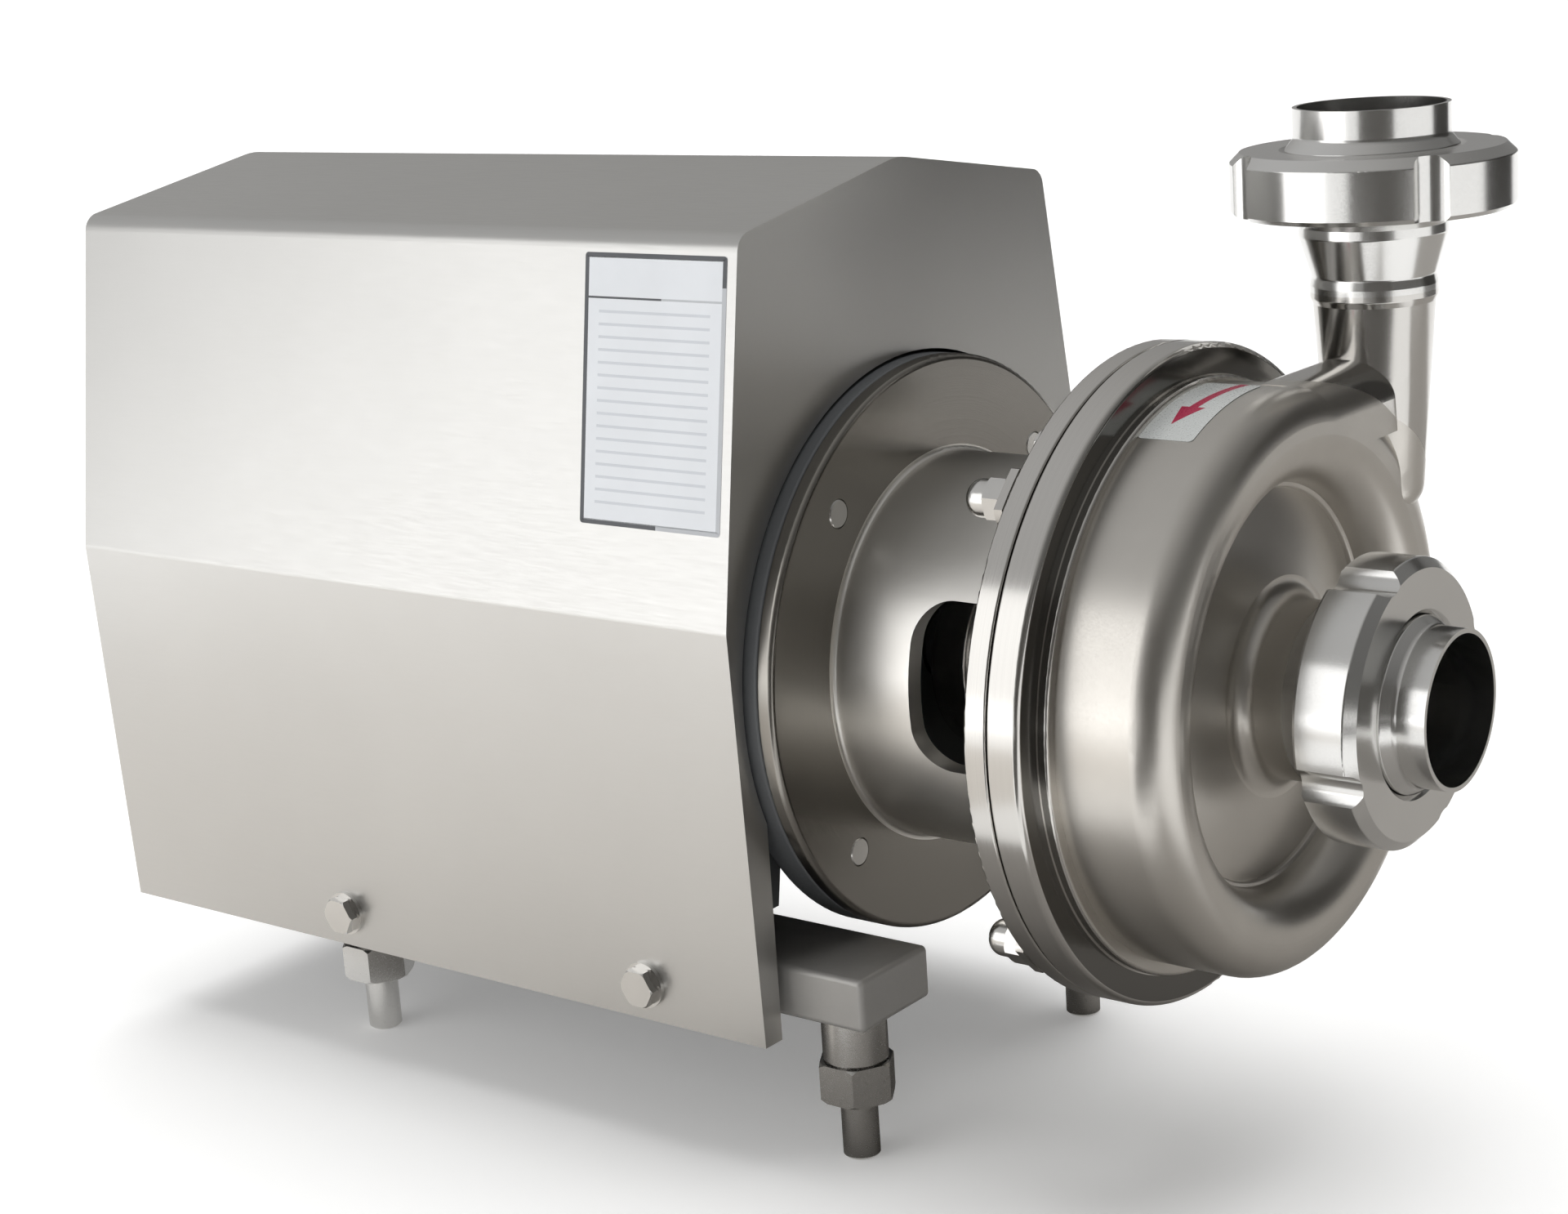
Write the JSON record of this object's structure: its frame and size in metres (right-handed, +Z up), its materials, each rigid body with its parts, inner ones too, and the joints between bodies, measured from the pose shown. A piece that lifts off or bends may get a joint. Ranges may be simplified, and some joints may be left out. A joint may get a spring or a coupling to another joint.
{
  "type": "sanitary centrifugal pump",
  "caption": "Close-coupled stainless centrifugal pump with union ports, a scroll casing, an open lantern, a flange motor under a folded sheet cover and a base on levelling feet.",
  "frame": {"origin": "centre of the suction liner's open end", "axes": "+X out of the suction port along the shaft, +Z up, out of the discharge port, +Y to the side that the discharge pipe stands on"},
  "size_m": [0.5207, 0.2268, 0.3398],
  "materials": {
    "casing_steel": "fine bead-blasted",
    "union_steel": "polished rim",
    "liner_steel": "polished",
    "seal_rubber": "matte",
    "plate_steel": "machined",
    "seal_ceramic": "lapped ceramic",
    "seal_carbon": "lapped carbon",
    "lantern_steel": "machined and blasted",
    "fastener_steel": "satin",
    "shaft_steel": "ground",
    "impeller_steel": "polished",
    "motor_casting": "painted dark grey",
    "laminations": "stacked sheet",
    "copper": "varnished copper wire",
    "bearing_steel": "polished",
    "fan_plastic": "moulded",
    "cowl_paint": "painted dark grey",
    "block_plastic": "moulded",
    "gland_plastic": "moulded",
    "rail_steel": "polished bar",
    "foot_steel": "turned",
    "cover_steel": "satin sheet"
  },
  "bodies": {
    "pump": {"pump_casing": "casing_steel", "inlet_male_part": "liner_steel", "outlet_male_part": "liner_steel", "inlet_gasket": "seal_rubber", "outlet_gasket": "seal_rubber", "inlet_liner": "liner_steel", "outlet_liner": "liner_steel", "back_plate": "plate_steel", "casing_gasket": "seal_rubber", "seal_seat": "seal_ceramic", "seal_oring": "seal_rubber", "lantern": "lantern_steel", "casing_studs": "fastener_steel", "cap_nuts": "fastener_steel", "lantern_screws": "fastener_steel", "flange_bolts": "fastener_steel", "motor_front_shield": "motor_casting", "motor_frame": "motor_casting", "stator_core": "laminations", "stator_windings": "copper", "bearing_outer_rings": "bearing_steel", "motor_rear_shield": "motor_casting", "fan_cowl": "cowl_paint", "terminal_box": "cowl_paint", "terminal_box_lid": "cowl_paint", "terminal_block": "block_plastic", "cable_gland": "gland_plastic", "motor_foot_bolts": "fastener_steel", "rail_near": "rail_steel", "rail_far": "rail_steel", "foot_bosses": "foot_steel", "foot_locknuts": "foot_steel", "cover_shell": "cover_steel", "cover_front": "cover_steel", "cover_rear": "cover_steel", "cover_bosses": "cover_steel", "cover_bolts": "fastener_steel"},
    "rotor": {"motor_shaft": "shaft_steel", "rotor_core": "laminations", "cooling_fan": "fan_plastic", "bearing_inner_rings": "bearing_steel", "bearing_balls": "bearing_steel", "stub_shaft": "shaft_steel", "clamp_ring": "shaft_steel", "clamp_screw": "fastener_steel", "impeller": "impeller_steel", "impeller_key": "shaft_steel", "impeller_nut": "impeller_steel", "seal_ring": "seal_carbon", "seal_bellows": "seal_rubber", "shaft_slinger": "seal_rubber"},
    "inlet_nut": {"inlet_nut": "union_steel"},
    "outlet_nut": {"outlet_nut": "union_steel"},
    "foot_front_near": {"foot_stud_front_near": "foot_steel"},
    "foot_front_far": {"foot_stud_front_far": "foot_steel"},
    "foot_rear_near": {"foot_stud_rear_near": "foot_steel"},
    "foot_rear_far": {"foot_stud_rear_far": "foot_steel"}
  },
  "joints": [
    {"name": "rotor_spin", "type": "hinge", "parent": "pump", "child": "rotor", "pos_m": [-0.2, 0, 0], "axis": [1, 0, 0], "continuous": true},
    {"name": "inlet_nut_turn", "type": "hinge", "parent": "pump", "child": "inlet_nut", "pos_m": [-0.0238, 0, 0], "axis": [1, 0, 0], "continuous": true},
    {"name": "outlet_nut_turn", "type": "hinge", "parent": "pump", "child": "outlet_nut", "pos_m": [-0.0633, 0.0722, 0.1532], "axis": [0, 0, 1], "continuous": true},
    {"name": "foot_front_near_height", "type": "slide", "parent": "pump", "child": "foot_front_near", "axis": [0, 0, 1], "range_m": [-0.015, 0]},
    {"name": "foot_front_far_height", "type": "slide", "parent": "pump", "child": "foot_front_far", "axis": [0, 0, 1], "range_m": [-0.015, 0]},
    {"name": "foot_rear_near_height", "type": "slide", "parent": "pump", "child": "foot_rear_near", "axis": [0, 0, 1], "range_m": [-0.015, 0]},
    {"name": "foot_rear_far_height", "type": "slide", "parent": "pump", "child": "foot_rear_far", "axis": [0, 0, 1], "range_m": [-0.015, 0]}
  ]
}
